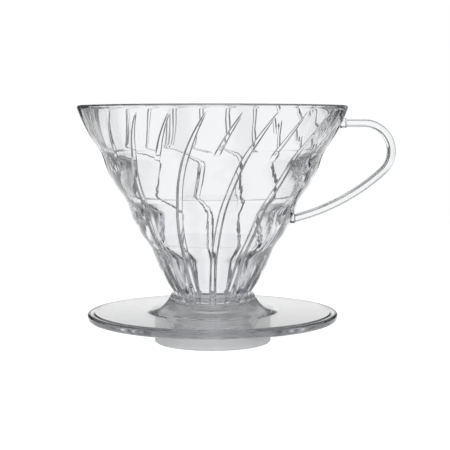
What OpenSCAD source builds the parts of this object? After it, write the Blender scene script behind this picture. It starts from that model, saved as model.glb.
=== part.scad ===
// Pour over dripper: a clear ribbed cone with a loop handle, standing on a flanged base.
// The origin is on the cone's axis, at the bottom of the centring ring. The handle lies along +X.

/* [Cone] */
// Height of the rim above the bottom of the centring ring
height = 102; // [98:1:110]
// Outer radius of the rim
rim_r = 58; // [56:0.5:60]
// Radius of the drain hole
drain_r = 10.3; // [9.5:0.1:11]
// Outer radius of the neck under the cone
neck_r = 17.2; // [16.5:0.1:17.5]
// How far each tier of the outer wall stands out between its corners, as a share of its length
tier_bulge = 0.05; // [0.02:0.005:0.06]

/* [Ribs] */
// Number of long ribs, each followed by a short one
rib_pairs = 12; // [8:1:14]
// Turn of a long rib from the neck to its top, in degrees
rib_turn = 27; // [0:1:40]
// Half of a rib's width at its root
rib_root = 1.4; // [1:0.1:1.8]

/* [Handle] */
// Radius of the loop's round end, on its centre line
loop_r = 12; // [11:0.5:13]
// Thickness of the handle, in the plane of the loop
handle_t = 3.4; // [3:0.1:4.2]
// Width of the handle, across the loop
handle_w = 8; // [7:0.5:11]

/* [Base] */
// Outer radius of the flange that rests on a server or a mug
flange_r = 54.2; // [50:0.2:58]
// Outer radius of the centring ring
ring_r = 25.2; // [23:0.2:28]
// Wall of the centring ring
ring_wall = 2; // [1.5:0.1:3]

/* [Hidden] */
$fn = 96;
clear = [0.86, 0.88, 0.90, 0.45];
milky = [0.93, 0.94, 0.95, 0.80];

// Levels of the base, from the flange's underside up
underside_z = 9.8;
flange_top_z = 13;
seat_z = 18;
ledge_z = 15.8;
boss_top_z = 21;

// Neck and spigot of the cone, with the gap that they have in the base
neck_top_z = 22.5;
spigot_r = 13.6;
spigot_z = 11;
fit_gap = 0.05;

// Wall at the rim, and the corners between the tiers as shares of the way from the neck to the rim
rim_wall = 2;
rim_round = 0.8;
tier_corners = [[0, 0], [0.225, 0.228], [0.489, 0.493], [0.757, 0.761], [1, 1]];
last_tier = len(tier_corners) - 2;
arc_steps = 6;

// Inner wall: a straight cone from the rim down to the drain hole
wall_slope = 0.54;
drain_top_z = height - rim_round - (rim_r - rim_wall - drain_r) / wall_slope;

// The rib crests lie on a slightly flatter cone, which carries the paper filter
crest_slope = 0.573;
rib_top_z = height - 3.5;
rib_top_rise = 0.3;
rib_sink = 0.6;
rib_bend = 1.9;
rib_run_in = 5;
rib_run_out = 3;
first_rib = -92.9;

// Handle: a straight top limb, a round end and a gently curved lower limb
top_limb_z = height - 7.5;
loop_x = rim_r + 7;
loop_z = top_limb_z - loop_r;
loop_end = -48;
lower_limb_r = 88;
top_pad_x = rim_r - 0.6;
low_pad_x = 35.5;
handle_sides = 20;
pad_margin = 0.4;
pad_h = handle_t + 2 * pad_margin;

// Flange: a border, a flat disc a little above it, and a flare that swells up from the disc to the boss
border_r = flange_r - 3.3;
border_step = 0.4;
swell_r = 29;
flare_r = 25;
flare_z = 14;
boss_r = 18.2;
boss_edge = 0.3;
edge_round = 0.8;
foot_round = 1.8;
hollow_r = ring_r - ring_wall - 1.8;

// Joint of the centring ring: its top is set back to a tongue, which sits in a groove
groove_h = 1;
tongue_z = 9.4;
tongue_inset = 0.4;

function wall_r(z) = rim_r - rim_wall - wall_slope * (height - rim_round - z);
function crest_r(z) =
    max(drain_r + 0.1, wall_r(rib_top_z) - rib_top_rise - crest_slope * (rib_top_z - z));
function polar(r, angle, z) = [r * cos(angle), r * sin(angle), z];

// Points of an arc from a to b, without b. It bulges to the right of the way from a to b
function arc(a, b, bulge) =
    let (half = norm(b - a) / 2)
    let (r = (half * half + bulge * bulge) / (2 * bulge))
    let (along = (b - a) / (2 * half))
    let (out = [along[1], -along[0]])
    let (centre = (a + b) / 2 + out * (bulge - r))
    let (spread = asin(half / r))
    [for (i = [0 : arc_steps - 1])
        let (t = spread * (2 * i / arc_steps - 1))
        centre + r * (cos(t) * out + sin(t) * along)];

// Points of a rounded corner from a to b, where the radius is the same across and up
function corner(a, b) = arc(a, b, norm(b - a) / sqrt(2) * (1 - cos(45)));

function tier_corner(i) = [
    neck_r + tier_corners[i][0] * (rim_r - neck_r),
    neck_top_z + tier_corners[i][1] * (height - rim_round - neck_top_z)
];

// The tiers curve outwards for most of their length, and inwards for a sixth of it at each inner corner
function tier_run(i) = tier_corner(i + 1) - tier_corner(i);
function tier_rise(i) = tier_bulge * norm(tier_run(i));
function tier_out(i) = [tier_run(i)[1], -tier_run(i)[0]] / norm(tier_run(i)) * tier_rise(i) / 3;
function tier_start(i) = tier_corner(i) + (i == 0 ? [0, 0] : tier_run(i) / 6 + tier_out(i));
function tier_end(i) = tier_corner(i + 1) - (i == last_tier ? [0, 0] : tier_run(i) / 6 - tier_out(i));

function tiered_wall() = [
    for (i = [0 : last_tier]) each concat(
        arc(tier_start(i), tier_end(i), tier_rise(i) * 2 / 3),
        i == last_tier ? [] : arc(tier_end(i), tier_start(i + 1), -tier_rise(i) / 3)
    )
];

// Angle of a long rib at height z, from its angle at the top
function rib_angle(z, top_angle) =
    let (share = max(0, (z - neck_top_z) / (rib_top_z - neck_top_z)))
    top_angle - rib_turn * (1 - pow(share, rib_bend));

// One level of a rib: root, crest, crest, root. It sinks into the wall where rise is small
function rib_level(z, angle, rise) =
    let (root_r = wall_r(z) + rib_sink)
    let (top_r = root_r - rise * (root_r - crest_r(z)))
    let (root = rib_root * (0.4 + 0.6 * rise) / root_r * 180 / PI)
    let (crest = 0.35 * rib_root / top_r * 180 / PI)
    [
        polar(root_r, angle - root, z),
        polar(top_r, angle - crest, z),
        polar(top_r, angle + crest, z),
        polar(root_r, angle + root, z)
    ];

// A closed solid through levels that all have the same number of points
module skin(levels) {
    n = len(levels[0]);
    last = n * (len(levels) - 1);
    sides = [for (level = [0 : n : last - 1], i = [0 : n - 1])
        let (a = level + i)
        let (b = level + (i + 1) % n)
        each [[a, b + n, a + n], [a, b, b + n]]];
    first_cap = [for (i = [n - 1 : -1 : 0]) i];
    last_cap = [for (i = [0 : n - 1]) last + i];
    polyhedron([for (level = levels) each level], concat(sides, [first_cap, last_cap]));
}

module rib(low_z, top_angle, steps) {
    skin([for (i = [0 : steps])
        let (z = low_z + (rib_top_z - low_z) * i / steps)
        let (rise = max(0.1, min(1, (z - low_z) / rib_run_out, (rib_top_z - z) / rib_run_in)))
        rib_level(z, rib_angle(z, top_angle), rise)]);
}

module ribs() {
    pitch = 360 / rib_pairs;
    for (i = [0 : rib_pairs - 1]) {
        rib(drain_top_z + 0.3, first_rib + i * pitch, 20);
        rib(tier_corner(3)[1], first_rib + (i + 0.5) * pitch, 8);
    }
}

module cone_outside() {
    rim_in_r = rim_r - rim_wall;
    rotate_extrude()
        polygon(concat(
            [[0, spigot_z], [spigot_r, spigot_z], [spigot_r, seat_z], [neck_r, seat_z]],
            tiered_wall(),
            corner([rim_r, height - rim_round], [rim_r - rim_round, height]),
            corner([rim_in_r + rim_round, height], [rim_in_r, height - rim_round]),
            [[rim_in_r, height - rim_round], [0, height - rim_round]]
        ));
}

module cone_inside() {
    rotate_extrude()
        polygon([
            [0, spigot_z - 1],
            [drain_r, spigot_z - 1],
            [drain_r, drain_top_z],
            [rim_r - rim_wall, height - rim_round],
            [rim_r - rim_wall, height + 1],
            [0, height + 1]
        ]);
}

// A pad with round ends and an upright face at x, to which one end of the handle is joined
module handle_pad(x, z) {
    half_w = handle_w / 2 + pad_margin - pad_h / 2;
    translate([x, 0, z])
        rotate([0, -90, 0])
            linear_extrude(6)
                union() {
                    square([pad_h, 2 * half_w], center = true);
                    for (side = [-1, 1]) translate([0, side * half_w]) circle(d = pad_h);
                }
}

module cone() {
    color(clear) {
        difference() {
            union() {
                cone_outside();
                handle_pad(top_pad_x, top_limb_z);
                handle_pad(low_pad_x, low_end_z());
            }
            cone_inside();
        }
        ribs();
    }
}

// The lower limb's centre lies on the line through the loop's centre and the end of its round
function limb_centre() =
    [loop_x, loop_z] - (lower_limb_r - loop_r) * [cos(loop_end), sin(loop_end)];
function low_end_angle() = -acos((low_pad_x - limb_centre()[0]) / lower_limb_r);
function low_end_z() = limb_centre()[1] + lower_limb_r * sin(low_end_angle());

// Softens a sine or cosine, which makes the bar's section squarer than an ellipse
function squarer(x) = sign(x) * pow(abs(x), 0.6);

// One level of the handle's bar, square to an arc. With stop_x it slides along the bar to an upright face
function handle_level(centre, r, angle, stop_x = undef) = [
    for (i = [0 : handle_sides - 1])
        let (turn = 360 * i / handle_sides)
        let (reach = r + handle_t / 2 * squarer(cos(turn)))
        let (x = centre[0] + reach * cos(angle))
        let (slide = is_undef(stop_x) ? 0 : (stop_x - x) / sin(angle))
        [
            x + slide * sin(angle),
            handle_w / 2 * squarer(sin(turn)),
            centre[1] + reach * sin(angle) - slide * cos(angle)
        ]
];

function handle_arc(centre, r, from, to, steps) = [
    for (i = [0 : steps - 1]) handle_level(centre, r, from + (to - from) * i / steps)
];

module handle() {
    loop_centre = [loop_x, loop_z];
    color(clear)
        skin(concat(
            [handle_level(loop_centre, loop_r, 90, top_pad_x)],
            handle_arc(loop_centre, loop_r, 90, loop_end, 14),
            handle_arc(limb_centre(), lower_limb_r, loop_end, low_end_angle(), 7),
            [handle_level(limb_centre(), lower_limb_r, low_end_angle(), low_pad_x)]
        ));
}

module base_plate() {
    socket_r = spigot_r + fit_gap;
    counterbore_r = neck_r + fit_gap;
    groove_in_r = ring_r - ring_wall - fit_gap;
    groove_out_r = ring_r - tongue_inset + fit_gap;
    disc_z = flange_top_z + border_step;
    color(clear)
        rotate_extrude()
            polygon(concat(
                [[socket_r, ledge_z]],
                arc([boss_r - 2, ledge_z], [hollow_r, underside_z], 1.2),
                [
                    [hollow_r, underside_z],
                    [groove_in_r, underside_z],
                    [groove_in_r, underside_z + groove_h],
                    [groove_out_r, underside_z + groove_h],
                    [groove_out_r, underside_z + tongue_inset],
                    [ring_r + fit_gap, underside_z]
                ],
                corner([flange_r - foot_round, underside_z], [flange_r, underside_z + foot_round]),
                corner([flange_r, flange_top_z - edge_round], [flange_r - edge_round, flange_top_z]),
                [
                    [flange_r - edge_round, flange_top_z],
                    [border_r + border_step, flange_top_z],
                    [border_r, disc_z]
                ],
                arc([swell_r, disc_z], [flare_r, flare_z], -0.15),
                arc([flare_r, flare_z], [boss_r, boss_top_z - boss_edge], -1.1),
                [
                    [boss_r, boss_top_z - boss_edge],
                    [boss_r - boss_edge, boss_top_z],
                    [counterbore_r, boss_top_z],
                    [counterbore_r, seat_z],
                    [socket_r, seat_z]
                ]
            ));
}

module centring_ring() {
    chamfer = 0.6;
    inner_r = ring_r - ring_wall;
    color(milky)
        rotate_extrude()
            polygon([
                [inner_r, 0],
                [ring_r - chamfer, 0],
                [ring_r, chamfer],
                [ring_r, tongue_z],
                [ring_r - tongue_inset, tongue_z],
                [ring_r - tongue_inset, underside_z + groove_h],
                [inner_r, underside_z + groove_h]
            ]);
}

cone();
handle();
base_plate();
centring_ring();
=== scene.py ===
"""Looks for the clear pour over dripper: fine meshes for its four pieces, materials, light and camera."""

import math

import bpy
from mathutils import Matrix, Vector


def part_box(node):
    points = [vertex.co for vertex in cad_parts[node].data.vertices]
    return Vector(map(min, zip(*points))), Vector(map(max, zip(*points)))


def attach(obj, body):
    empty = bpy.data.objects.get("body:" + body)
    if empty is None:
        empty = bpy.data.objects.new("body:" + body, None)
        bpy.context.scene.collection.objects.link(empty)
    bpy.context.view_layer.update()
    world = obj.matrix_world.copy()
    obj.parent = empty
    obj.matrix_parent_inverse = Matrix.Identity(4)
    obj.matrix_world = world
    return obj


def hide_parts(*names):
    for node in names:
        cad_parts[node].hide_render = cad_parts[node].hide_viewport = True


MM = 0.001

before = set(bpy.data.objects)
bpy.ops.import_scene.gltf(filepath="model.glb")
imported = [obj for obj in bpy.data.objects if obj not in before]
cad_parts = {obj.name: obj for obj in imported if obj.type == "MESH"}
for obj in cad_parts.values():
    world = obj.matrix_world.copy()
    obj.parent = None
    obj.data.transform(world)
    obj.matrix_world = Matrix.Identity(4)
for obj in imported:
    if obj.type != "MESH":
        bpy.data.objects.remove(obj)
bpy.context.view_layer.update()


# Shapes, in millimetres. They refine the CAD nodes and keep their sizes.

CONE_LOW, CONE_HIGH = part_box("cone")
HANDLE_LOW, HANDLE_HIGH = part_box("handle")
_, BASE_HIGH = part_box("base_plate")
_, RING_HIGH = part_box("centring_ring")

HEIGHT = CONE_HIGH.z / MM
RIM_R = CONE_HIGH.x / MM
SPIGOT_Z = CONE_LOW.z / MM
FLANGE_R = BASE_HIGH.x / MM
BOSS_TOP_Z = BASE_HIGH.z / MM
RING_R = RING_HIGH.x / MM
RING_TOP_Z = RING_HIGH.z / MM
GROOVE_H = 1.0
UNDERSIDE_Z = RING_TOP_Z - GROOVE_H

DRAIN_R = 10.3
NECK_R = 17.2
NECK_TOP_Z = 22.5
SPIGOT_R = 13.6
SEAT_Z = 18.0
FIT_GAP = 0.05

RIM_WALL = 2.0
RIM_ROUND = 0.8
TIERS_TOP_Z = HEIGHT - RIM_ROUND
TIER_BULGE = 0.05
TIER_CORNERS = [(0, 0), (0.225, 0.228), (0.489, 0.493), (0.757, 0.761), (1, 1)]
LAST_TIER = len(TIER_CORNERS) - 2

WALL_SLOPE = 0.54
CREST_SLOPE = 0.573
RIB_PAIRS = 12
RIB_TOP_Z = HEIGHT - 3.5
RIB_TIP_Z = HEIGHT - 2.2
RIB_TOP_RISE = 0.3
RIB_TURN = 27
RIB_BEND = 1.9
RIB_ROOT = 1.4
RIB_TIP = 0.35
RIB_FLANK = 0.7
RIB_GUARD = 0.06
RIB_GROWTH = 16
RIB_SWELL = 0.6
RIB_FADE = 4
FLANK_STEPS = 5
GAP_COLUMNS = 2
RIM_LEVELS = 4
RIB_LEVELS = 106
FIRST_RIB = -92.9
DRAIN_TOP_Z = HEIGHT - RIM_ROUND - (RIM_R - RIM_WALL - DRAIN_R) / WALL_SLOPE
SHORT_RIB_Z = NECK_TOP_Z + TIER_CORNERS[3][1] * (TIERS_TOP_Z - NECK_TOP_Z)
RIB_STARTS = ((DRAIN_TOP_Z, 2), (SHORT_RIB_Z - 2, 6))


def lerp(a, b, t):
    return a + (b - a) * t


def smooth_step(t):
    t = min(1, max(0, t))
    return t * t * (3 - 2 * t)


def spread(a, b, steps):
    """Evenly spaced numbers from a to b, without b."""
    return [lerp(a, b, i / steps) for i in range(steps)]


def arc(a, b, bulge, steps):
    """Points of an arc from a to b, without b, that bulges to the right of the way from a to b."""
    half = math.dist(a, b) / 2
    r = (half * half + bulge * bulge) / (2 * bulge)
    along = ((b[0] - a[0]) / (2 * half), (b[1] - a[1]) / (2 * half))
    out = (along[1], -along[0])
    opening = math.asin(half / r)
    points = []
    for t in spread(-opening, opening, steps):
        across = bulge - r + r * math.cos(t)
        ahead = r * math.sin(t)
        points.append(tuple((a[k] + b[k]) / 2 + out[k] * across + along[k] * ahead for k in (0, 1)))
    return points


def corner(a, b, steps=6):
    """Points of a rounded corner from a to b, without b, whose radius is the same across and up."""
    return arc(a, b, abs(b[0] - a[0]) * (1 - math.cos(math.pi / 4)), steps)


def line(a, b, steps):
    """Points of a straight line from a to b, without b."""
    return [(lerp(a[0], b[0], i / steps), lerp(a[1], b[1], i / steps)) for i in range(steps)]


def mesh_piece(name, points, faces, material, node, sharp_angle=35):
    """A smooth-shaded mesh piece, given in millimetres, that stands for a CAD node."""
    mesh = bpy.data.meshes.new(name)
    mesh.from_pydata([Vector(p) * MM for p in points], [], faces)
    mesh.polygons.foreach_set("use_smooth", [True] * len(mesh.polygons))
    mesh.set_sharp_from_angle(angle=math.radians(sharp_angle))
    mesh.update()
    piece = bpy.data.objects.new(name, mesh)
    bpy.context.scene.collection.objects.link(piece)
    mesh.materials.append(material)
    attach(piece, "root")
    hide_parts(node)
    return piece


def closed_grid(rows, columns):
    """Quads of a grid whose rows and columns both close on themselves."""
    faces = []
    for i in range(rows):
        below, above = i * columns, (i + 1) % rows * columns
        for j in range(columns):
            right = (j + 1) % columns
            faces.append((below + j, below + right, above + right, above + j))
    return faces


def turned_ring(name, outline, material, node, columns=256):
    """A closed outline of (radius, height) turned about the axis. The outline runs anticlockwise."""
    points = []
    for r, z in outline:
        for turn in spread(0, 2 * math.pi, columns):
            points.append((r * math.cos(turn), r * math.sin(turn), z))
    return mesh_piece(name, points, closed_grid(len(outline), columns), material, node)


# The cone: one closed grid whose columns follow the ribs, down the inside and up the outside.


def wall_r(z):
    return RIM_R - RIM_WALL - WALL_SLOPE * (HEIGHT - RIM_ROUND - z)


def crest_r(z):
    return max(DRAIN_R + 0.1, wall_r(RIB_TOP_Z) - RIB_TOP_RISE - CREST_SLOPE * (RIB_TOP_Z - z))


def tier_corner(i):
    across, up = TIER_CORNERS[i]
    return Vector((lerp(NECK_R, RIM_R, across), lerp(NECK_TOP_Z, TIERS_TOP_Z, up)))


def tier_run(i):
    return tier_corner(i + 1) - tier_corner(i)


def tier_rise(i):
    return TIER_BULGE * tier_run(i).length


def tier_out(i):
    """How far the two ends of a tier's outward curve stand off the chord between its corners."""
    run = tier_run(i)
    return Vector((run.y, -run.x)).normalized() * tier_rise(i) / 3


def tier_start(i):
    return tier_corner(i) if i == 0 else tier_corner(i) + tier_run(i) / 6 + tier_out(i)


def tier_end(i):
    return tier_corner(i + 1) if i == LAST_TIER else tier_corner(i + 1) - tier_run(i) / 6 + tier_out(i)


def tiered_wall():
    """The outside from the neck to the rim. Each tier curves outwards, and each inner corner is hollow."""
    outline = []
    for i in range(LAST_TIER + 1):
        outline += arc(tier_start(i), tier_end(i), tier_rise(i) * 2 / 3, 14)
        if i < LAST_TIER:
            outline += arc(tier_end(i), tier_start(i + 1), -tier_rise(i) / 3, 9)
    return outline


def rib_turn_at(z):
    """How far a rib has turned back from its top at height z, in degrees."""
    share = max(0, (z - NECK_TOP_Z) / (RIB_TOP_Z - NECK_TOP_Z))
    return RIB_TURN * (1 - share**RIB_BEND)


def rib_rise(z, low_z, run_in):
    """How much of its full height a rib has at height z, from 0 to 1."""
    return smooth_step((z - low_z) / run_in) * smooth_step((RIB_TIP_Z - z) / RIB_FADE)


def rib_section(half):
    """(offset, share of the height) of the points across a rib, which has a flat crest between two flanks.

    A point just beyond each end of a flank keeps the shading of the crest and of the wall flat.
    """
    width = min(RIB_FLANK, half - 2 * RIB_GUARD)
    shares = [i / FLANK_STEPS for i in range(FLANK_STEPS + 1)]
    flank = [(half - width * share, smooth_step(share)) for share in shares]
    flank = [(half + RIB_GUARD, 0)] + flank + [(half - width - RIB_GUARD, 1)]
    return [(-across, rise) for across, rise in flank] + flank[::-1]


def inner_columns(z):
    """(angle in degrees, share of the rib height) of each column of the inside at height z.

    Long and short ribs take turns. Near the drain they get narrower, so that a gap stays between them
    and the angles always rise.
    """
    pitch = 360 / RIB_PAIRS
    r = wall_r(z)
    grown = min(1, max(0, (RIB_TIP_Z - z) / RIB_GROWTH)) ** RIB_SWELL
    widest = r * math.radians(pitch) / 4 - 2.5 * RIB_GUARD
    half = min(lerp(RIB_TIP, RIB_ROOT, grown), widest)
    edge = math.degrees((half + RIB_GUARD) / r)
    gap = pitch / 2 - 2 * edge
    back = rib_turn_at(z)
    columns = []
    for i in range(RIB_PAIRS):
        for k, (low_z, run_in) in enumerate(RIB_STARTS):
            centre = FIRST_RIB + (i + k / 2) * pitch - back
            rise = rib_rise(z, low_z, run_in)
            for across, share in rib_section(half):
                columns.append((centre + math.degrees(across / r), rise * share))
            for g in range(1, GAP_COLUMNS + 1):
                columns.append((centre + edge + gap * g / (GAP_COLUMNS + 1), 0))
    return columns


def cone_rows():
    """Rows of the cone's grid: each a list of points, all with the same number of columns."""
    rows = []
    for z in spread(TIERS_TOP_Z, RIB_TIP_Z, RIM_LEVELS) + spread(RIB_TIP_Z, DRAIN_TOP_Z, RIB_LEVELS):
        depth = wall_r(z) - crest_r(z)
        rows.append([(wall_r(z) - depth * rise, angle, z) for angle, rise in inner_columns(z)])
    plain = [angle for angle, _ in inner_columns(DRAIN_TOP_Z)]
    outline = line((DRAIN_R, DRAIN_TOP_Z), (DRAIN_R, SPIGOT_Z + 0.2), 6)
    outline += [(DRAIN_R + 0.2, SPIGOT_Z), (SPIGOT_R - 0.2, SPIGOT_Z), (SPIGOT_R, SPIGOT_Z + 0.2)]
    outline += [(SPIGOT_R, SEAT_Z - 0.1), (SPIGOT_R + 0.1, SEAT_Z)]
    outline += [(NECK_R - 0.2, SEAT_Z), (NECK_R, SEAT_Z + 0.2)]
    for r, z in outline:
        rows.append([(r, angle, z) for angle in plain])
    outside = tiered_wall()
    outside += corner((RIM_R, TIERS_TOP_Z), (RIM_R - RIM_ROUND, HEIGHT))
    inner_r = RIM_R - RIM_WALL
    outside += corner((inner_r + RIM_ROUND, HEIGHT), (inner_r, TIERS_TOP_Z))
    low, high = outside[0][1], HEIGHT
    upper = [angle for angle, _ in inner_columns(TIERS_TOP_Z)]
    for r, z in outside:
        share = smooth_step((z - low) / (high - low))
        rows.append([(r, lerp(a, b, share), z) for a, b in zip(plain, upper)])
    return rows


def make_cone(material):
    rows = cone_rows()
    columns = len(rows[0])
    points = []
    for row in rows:
        for r, angle, z in row:
            turn = math.radians(angle)
            points.append((r * math.cos(turn), r * math.sin(turn), z))
    faces = closed_grid(len(rows), columns)
    cone = mesh_piece("cone_moulding", points, faces, material, "cone")
    for x, z in ((TOP_PAD_X, TOP_LIMB_Z), (LOW_PAD_X, low_end()[1])):
        join_pad(cone, x, z)
    cone.data.set_sharp_from_angle(angle=math.radians(35))
    return cone


# Handle: a straight top limb, a round end and a gently curved lower limb, between two pads on the cone.

LOOP_R = 12.0
LOOP_X = RIM_R + 7
TOP_LIMB_Z = HEIGHT - 7.5
LOOP_CENTRE = (LOOP_X, TOP_LIMB_Z - LOOP_R)
LOOP_END = math.radians(-48)
LOWER_LIMB_R = 88.0
TOP_PAD_X = RIM_R - 0.6
LOW_PAD_X = 35.5
PAD_H = 4.2
PAD_MARGIN = 0.4
BOND_GAP = 0.03
HANDLE_T = 3.4
HANDLE_W = (HANDLE_HIGH.y - HANDLE_LOW.y) / MM
HANDLE_SIDES = 72
SQUARENESS = 0.6


def limb_centre():
    reach = LOWER_LIMB_R - LOOP_R
    return (LOOP_CENTRE[0] - reach * math.cos(LOOP_END), LOOP_CENTRE[1] - reach * math.sin(LOOP_END))


def low_end():
    """Angle and height at which the lower limb's centre line meets the lower pad."""
    x, z = limb_centre()
    angle = -math.acos((LOW_PAD_X - x) / LOWER_LIMB_R)
    return angle, z + LOWER_LIMB_R * math.sin(angle)


def outer_r(z):
    """Radius of the tiers' chord line at height z."""
    for i in range(len(TIER_CORNERS) - 1):
        (r0, z0), (r1, z1) = tier_corner(i), tier_corner(i + 1)
        if z <= z1:
            break
    return lerp(r0, r1, (z - z0) / (z1 - z0))


def pad_outline(steps=12):
    """Offsets across and up of a pad's outline, an upright face with round ends."""
    straight = HANDLE_W / 2 + PAD_MARGIN - PAD_H / 2
    outline = []
    for side, start in ((1, -90), (-1, 90)):
        for k in range(steps + 1):
            turn = math.radians(start + 180 * k / steps)
            outline.append((side * straight + PAD_H / 2 * math.cos(turn), PAD_H / 2 * math.sin(turn)))
    return outline


def pad_mesh(x, middle_z):
    """A handle pad with its face at x. Its back follows the middle of the cone's wall."""
    outline = pad_outline()
    n = len(outline)
    face, rounded, back = [], [], []
    for across, up in outline:
        z = middle_z + up
        face.append((x, across * 0.96, middle_z + up * 0.94))
        rounded.append((x - 0.2, across, z))
        back.append((math.sqrt(((wall_r(z) + outer_r(z)) / 2) ** 2 - across**2), across, z))
    quads = []
    for low, high in ((0, n), (n, 2 * n)):
        for j in range(n):
            k = (j + 1) % n
            quads.append((low + j, high + j, high + k, low + k))
    quads += [tuple(range(n)), tuple(range(3 * n - 1, 2 * n - 1, -1))]
    mesh = bpy.data.meshes.new("pad")
    mesh.from_pydata([Vector(p) * MM for p in face + rounded + back], [], quads)
    mesh.polygons.foreach_set("use_smooth", [True] * len(mesh.polygons))
    mesh.update()
    return mesh


def join_pad(cone, x, middle_z):
    """Fuses a handle pad to the cone."""
    pad = bpy.data.objects.new("pad", pad_mesh(x, middle_z))
    bpy.context.scene.collection.objects.link(pad)
    union = cone.modifiers.new("pad", "BOOLEAN")
    union.operation = "UNION"
    union.solver = "EXACT"
    union.object = pad
    fused = cone.evaluated_get(bpy.context.evaluated_depsgraph_get())
    joined = bpy.data.meshes.new_from_object(fused)
    cone.modifiers.clear()
    cone.data = joined
    bpy.data.objects.remove(pad)


def squarer(x):
    """Pushes a sine or cosine towards 1 or -1, which turns an oval into a rectangle with round corners."""
    return math.copysign(abs(x) ** SQUARENESS, x)


def handle_level(centre, r, angle, stop_x=None):
    """A level of the bar, square to an arc. With stop_x it slides along the bar to an upright face."""
    level = []
    for turn in spread(0, 2 * math.pi, HANDLE_SIDES):
        reach = r + HANDLE_T / 2 * squarer(math.cos(turn))
        x = centre[0] + reach * math.cos(angle)
        z = centre[1] + reach * math.sin(angle)
        slide = 0 if stop_x is None else (stop_x - x) / math.sin(angle)
        y = HANDLE_W / 2 * squarer(math.sin(turn))
        level.append((x + slide * math.sin(angle), y, z - slide * math.cos(angle)))
    return level


def make_handle(material):
    quarter = math.pi / 2
    start_x = TOP_PAD_X + BOND_GAP
    levels = [handle_level(LOOP_CENTRE, LOOP_R, quarter, x) for x in spread(start_x, LOOP_X, 12)]
    levels += [handle_level(LOOP_CENTRE, LOOP_R, angle) for angle in spread(quarter, LOOP_END, 120)]
    for angle in spread(LOOP_END, low_end()[0], 90):
        levels.append(handle_level(limb_centre(), LOWER_LIMB_R, angle))
    levels.append(handle_level(limb_centre(), LOWER_LIMB_R, low_end()[0], LOW_PAD_X + BOND_GAP))
    points = [point for level in levels for point in level]
    n = HANDLE_SIDES
    faces = []
    for i in range(len(levels) - 1):
        for j in range(n):
            a, b = i * n + j, i * n + (j + 1) % n
            faces.append((a, a + n, b + n, b))
    last = (len(levels) - 1) * n
    faces += [tuple(range(n)), tuple(range(last + n - 1, last - 1, -1))]
    return mesh_piece("loop_handle", points, faces, material, "handle")


# Base plate and centring ring.

FLANGE_TOP_Z = 13.0
BORDER_R = FLANGE_R - 3.3
BORDER_STEP = 0.4
SWELL_R = 29.0
FLARE_R = 25.0
FLARE_Z = 14.0
BOSS_R = 18.2
LEDGE_Z = 15.8
HOLLOW_R = 21.4
EDGE_ROUND = 0.8
FOOT_ROUND = 1.3
EDGE_STEP = 0.25
RING_WALL = 2.0
TONGUE_Z = 9.4
TONGUE_INSET = 0.4
DOME_MATTE = 1.0
UNDERSIDE_MATTE = 0.15


def dome_outline():
    """The hollow under the boss, from the socket out to the flat underside."""
    ledge_end = (BOSS_R - 2, LEDGE_Z)
    outline = line((SPIGOT_R + FIT_GAP, LEDGE_Z), ledge_end, 3)
    return outline + arc(ledge_end, (HOLLOW_R, UNDERSIDE_Z), 1.2, 16)


def underside_outline(foot_r):
    """The flat underside with the ring's groove, out to the round at the foot of the flange's edge."""
    groove = (RING_R - RING_WALL - FIT_GAP, RING_R - TONGUE_INSET + FIT_GAP)
    groove_z = RING_TOP_Z + FIT_GAP
    outline = line((HOLLOW_R, UNDERSIDE_Z), (groove[0], UNDERSIDE_Z), 2)
    outline += [(groove[0], UNDERSIDE_Z), (groove[0], groove_z), (groove[1], groove_z)]
    outline += [(groove[1], UNDERSIDE_Z + TONGUE_INSET)]
    return outline + line((RING_R + FIT_GAP, UNDERSIDE_Z), (foot_r - FOOT_ROUND, UNDERSIDE_Z), 8)


def edge_outline(foot_r, foot_z):
    """The flange's edge with its small step, and the border above it."""
    outline = corner((foot_r - FOOT_ROUND, UNDERSIDE_Z), (foot_r, foot_z), 10)
    outline += [(foot_r, foot_z), (foot_r, foot_z + EDGE_STEP)]
    outline += line((FLANGE_R, foot_z + EDGE_STEP), (FLANGE_R, FLANGE_TOP_Z - EDGE_ROUND), 2)
    outline += corner((FLANGE_R, FLANGE_TOP_Z - EDGE_ROUND), (FLANGE_R - EDGE_ROUND, FLANGE_TOP_Z), 8)
    border_foot = (BORDER_R + BORDER_STEP, FLANGE_TOP_Z)
    outline += line((FLANGE_R - EDGE_ROUND, FLANGE_TOP_Z), border_foot, 3)
    return outline + arc(border_foot, (BORDER_R, FLANGE_TOP_Z + BORDER_STEP), -0.1, 4)


def top_outline():
    """The disc, the swell and the flare up to the boss, and the counterbore down to the socket."""
    disc_z = FLANGE_TOP_Z + BORDER_STEP
    counterbore_r = NECK_R + FIT_GAP
    outline = line((BORDER_R, disc_z), (SWELL_R, disc_z), 20)
    outline += arc((SWELL_R, disc_z), (FLARE_R, FLARE_Z), -0.15, 12)
    outline += arc((FLARE_R, FLARE_Z), (BOSS_R, BOSS_TOP_Z - 0.3), -1.1, 24)
    outline += arc((BOSS_R, BOSS_TOP_Z - 0.3), (BOSS_R - 0.3, BOSS_TOP_Z), 0.09, 5)
    outline += [(BOSS_R - 0.3, BOSS_TOP_Z), (counterbore_r, BOSS_TOP_Z)]
    return outline + [(counterbore_r, SEAT_Z - FIT_GAP), (SPIGOT_R + FIT_GAP, SEAT_Z - FIT_GAP)]


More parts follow.
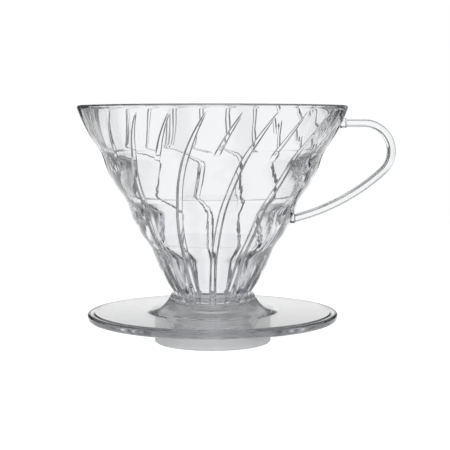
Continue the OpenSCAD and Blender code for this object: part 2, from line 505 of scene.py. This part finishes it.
def make_base(material):
    """The base plate, whose underside is matte, most of all in the dome."""
    foot_r = FLANGE_R - EDGE_STEP
    dome = dome_outline()
    underside = underside_outline(foot_r)
    polished = edge_outline(foot_r, UNDERSIDE_Z + FOOT_ROUND) + top_outline()
    outline = dome + underside + polished
    base = turned_ring("base_flange", outline, material, "base_plate")
    shares = [DOME_MATTE] * len(dome) + [UNDERSIDE_MATTE] * len(underside) + [0.0] * len(polished)
    columns = len(base.data.vertices) // len(outline)
    matte = base.data.attributes.new("matte", "FLOAT", "POINT")
    matte.data.foreach_set("value", [share for share in shares for _ in range(columns)])
    return base


def make_ring(material):
    chamfer = 0.6
    inner_r = RING_R - RING_WALL
    outline = [(inner_r, 0.15), (inner_r + 0.15, 0), (RING_R - chamfer, 0)]
    outline += arc((RING_R - chamfer, 0), (RING_R, chamfer), 0.08, 5)[1:]
    outline += line((RING_R, chamfer), (RING_R, TONGUE_Z), 6)
    outline += [(RING_R, TONGUE_Z), (RING_R - TONGUE_INSET, TONGUE_Z)]
    outline += [(RING_R - TONGUE_INSET, RING_TOP_Z), (inner_r, RING_TOP_Z)]
    return turned_ring("frosted_ring", outline, material, "centring_ring")


# Materials.


class Nodes:
    """A short way to add nodes to a node tree and to link them."""

    def __init__(self, tree):
        self.tree = tree

    def add(self, kind, settings=None, **inputs):
        node = self.tree.nodes.new(kind)
        for key, value in (settings or {}).items():
            setattr(node, key, value)
        for key, value in inputs.items():
            socket = node.inputs[int(key[1:])] if key[1:].isdigit() else node.inputs[key.replace("_", " ")]
            if isinstance(value, bpy.types.NodeSocket):
                self.tree.links.new(value, socket)
            else:
                socket.default_value = value
        return node

    def maths(self, operation, *values):
        inputs = {f"_{i}": value for i, value in enumerate(values)}
        return self.add("ShaderNodeMath", {"operation": operation}, **inputs).outputs[0]

    def soft_step(self, value, low, high, before, after):
        smooth = {"interpolation_type": "SMOOTHSTEP"}
        node = self.add("ShaderNodeMapRange", smooth, _0=value, _1=low, _2=high, _3=before, _4=after)
        return node.outputs[0]


def moulded_plastic(name, colours, ior, transmission, roughness, absorption, wave, matte=None):
    """A see-through moulded plastic: a faint flow tint, uneven polish and a slight surface wave.

    matte is the roughness where the mesh's own attribute "matte" is 1, as on a fine matte underside.
    """
    material = bpy.data.materials.new(name)
    material.use_nodes = True
    tree = material.node_tree
    tree.nodes.clear()
    nodes = Nodes(tree)
    place = nodes.add("ShaderNodeTexCoord").outputs["Object"]
    flow = nodes.add("ShaderNodeTexNoise", Vector=place, Scale=38.0, Detail=3.0, Distortion=0.6)
    tint = nodes.add("ShaderNodeMix", {"data_type": "RGBA"}, _0=flow.outputs["Fac"])
    tint.inputs[6].default_value = (*colours[0], 1)
    tint.inputs[7].default_value = (*colours[1], 1)
    polish = nodes.add("ShaderNodeTexNoise", Vector=place, Scale=210.0, Detail=4.0)
    rough = nodes.add(
        "ShaderNodeMapRange", _0=polish.outputs["Fac"], _1=0.3, _2=0.7, _3=roughness[0], _4=roughness[1]
    )
    if matte:
        share = nodes.add("ShaderNodeAttribute", {"attribute_name": "matte"}).outputs["Fac"]
        rough = nodes.add("ShaderNodeMapRange", _0=share, _1=0.0, _2=1.0, _3=rough.outputs[0], _4=matte)
    ripple = nodes.add("ShaderNodeTexNoise", Vector=place, Scale=55.0, Detail=2.0)
    bump = nodes.add("ShaderNodeBump", Strength=wave, Distance=0.0002, Height=ripple.outputs["Fac"])
    shader = nodes.add(
        "ShaderNodeBsdfPrincipled",
        Base_Color=tint.outputs[2],
        Roughness=rough.outputs[0],
        IOR=ior,
        Transmission_Weight=transmission,
        Normal=bump.outputs[0],
    )
    output = nodes.add("ShaderNodeOutputMaterial", Surface=shader.outputs[0])
    if absorption:
        depth = nodes.add("ShaderNodeVolumeAbsorption", Color=(*absorption[0], 1), Density=absorption[1])
        tree.links.new(depth.outputs[0], output.inputs["Volume"])
    return material


def clear_plastic(name, tint_density=30.0, matte=None):
    return moulded_plastic(
        name,
        ((0.975, 0.980, 0.985), (0.990, 0.992, 0.995)),
        1.57,
        1.0,
        (0.0, 0.006),
        ((0.76, 0.78, 0.83), tint_density),
        0.03,
        matte,
    )


def frosted_plastic():
    return moulded_plastic(
        "frosted_plastic", ((0.84, 0.85, 0.865), (0.90, 0.91, 0.92)), 1.5, 0.8, (0.38, 0.5), None, 0.3
    )


# Floor, light and camera.

FLOOR_HALF = 0.6
FLOOR_DROP = 0.0002
DARKEST = 0.07
ROOF_LEVEL = 0.85
BELOW_LEVEL = 0.4
CAMERA_AWAY = 0.525
CAMERA_HIGH = 0.0942
CAMERA_TILT = 4.75
CAMERA_SWING = 0.585
LENS = 97.4


def make_floor():
    corners = [(x * FLOOR_HALF, y * FLOOR_HALF, 0) for x, y in ((-1, -1), (1, -1), (1, 1), (-1, 1))]
    mesh = bpy.data.meshes.new("floor")
    mesh.from_pydata(corners, [], [(0, 1, 2, 3)])
    floor = bpy.data.objects.new("floor", mesh)
    bpy.context.scene.collection.objects.link(floor)
    floor.location.z = -FLOOR_DROP
    material = bpy.data.materials.new("pale_floor")
    material.use_nodes = True
    shader = material.node_tree.nodes["Principled BSDF"]
    shader.inputs["Base Color"].default_value = (0.4, 0.4, 0.4, 1)
    shader.inputs["Roughness"].default_value = 0.9
    shader.inputs["Specular IOR Level"].default_value = 0.0
    shader.inputs["Emission Color"].default_value = (1, 1, 1, 1)
    shader.inputs["Emission Strength"].default_value = 1.0
    mesh.materials.append(material)
    floor.visible_transmission = False


def four_panels(nodes, place, turn, half_width, low, high):
    """Brightness of four panels with soft edges. low and high are (dark, full) pairs of heights."""
    x, y, z = place
    azimuth = nodes.maths("ARCTAN2", y, x)
    turned = nodes.maths("SUBTRACT", azimuth, math.radians(turn))
    offset = nodes.maths("ABSOLUTE", nodes.maths("WRAP", turned, math.pi / 4, -math.pi / 4))
    edge = math.radians(half_width)
    across = nodes.soft_step(offset, edge * 0.85, edge * 1.35, 1.0, 0.0)
    rising = nodes.soft_step(z, low[0], low[1], 0.0, 1.0)
    falling = nodes.soft_step(z, high[1], high[0], 1.0, 0.0)
    return nodes.maths("MULTIPLY", across, nodes.maths("MULTIPLY", rising, falling))


def make_world():
    """White panels round a dark set, lower ones between them, and dimmer ones above and below.

    The camera itself sees white behind the part.
    """
    world = bpy.data.worlds.new("studio")
    bpy.context.scene.world = world
    world.use_nodes = True
    world.node_tree.nodes.clear()
    nodes = Nodes(world.node_tree)
    generated = nodes.add("ShaderNodeTexCoord").outputs["Generated"]
    place = nodes.add("ShaderNodeSeparateXYZ", Vector=generated).outputs
    level = DARKEST
    for turn, half_width, low, high, strength in (
        (0, 13, (-0.31, -0.2), (0.2, 0.13), 1.0),
        (45, 8, (-0.68, -0.6), (-0.12, -0.2), 1.0),
        (0, 30, (0.25, 0.4), (1.3, 1.2), ROOF_LEVEL),
        (0, 30, (-1.3, -1.2), (-0.34, -0.46), BELOW_LEVEL),
    ):
        panels = nodes.maths("MULTIPLY", four_panels(nodes, place, turn, half_width, low, high), strength)
        level = nodes.maths("MAXIMUM", panels, level)
    seen = nodes.add("ShaderNodeLightPath").outputs["Is Camera Ray"]
    shown = nodes.add("ShaderNodeMix", _0=seen, _2=level, _3=1.0).outputs[0]
    background = nodes.add("ShaderNodeBackground", Color=(1, 1, 1, 1), Strength=shown)
    nodes.add("ShaderNodeOutputWorld", Surface=background.outputs[0])


def make_camera():
    """A long lens on the -Y side, a little below the height of the rim and tilted slightly down."""
    data = bpy.data.cameras.new("camera")
    data.sensor_width = 36
    data.lens = LENS
    data.clip_start = 0.01
    camera = bpy.data.objects.new("camera", data)
    bpy.context.scene.collection.objects.link(camera)
    camera.location = (0, -CAMERA_AWAY, CAMERA_HIGH)
    camera.rotation_euler = (math.radians(90 - CAMERA_TILT), 0, math.radians(-CAMERA_SWING))
    bpy.context.scene.camera = camera


def set_light_paths():
    scene = bpy.context.scene
    scene.view_settings.view_transform = "Standard"
    scene.cycles.use_denoising = True
    scene.cycles.max_bounces = 32
    scene.cycles.transmission_bounces = 32
    scene.cycles.glossy_bounces = 12


plastic = clear_plastic("clear_plastic")
make_cone(plastic)
make_handle(plastic)
make_base(clear_plastic("base_plastic", 12.0, 0.4))
make_ring(frosted_plastic())
make_floor()
make_world()
make_camera()
set_light_paths()
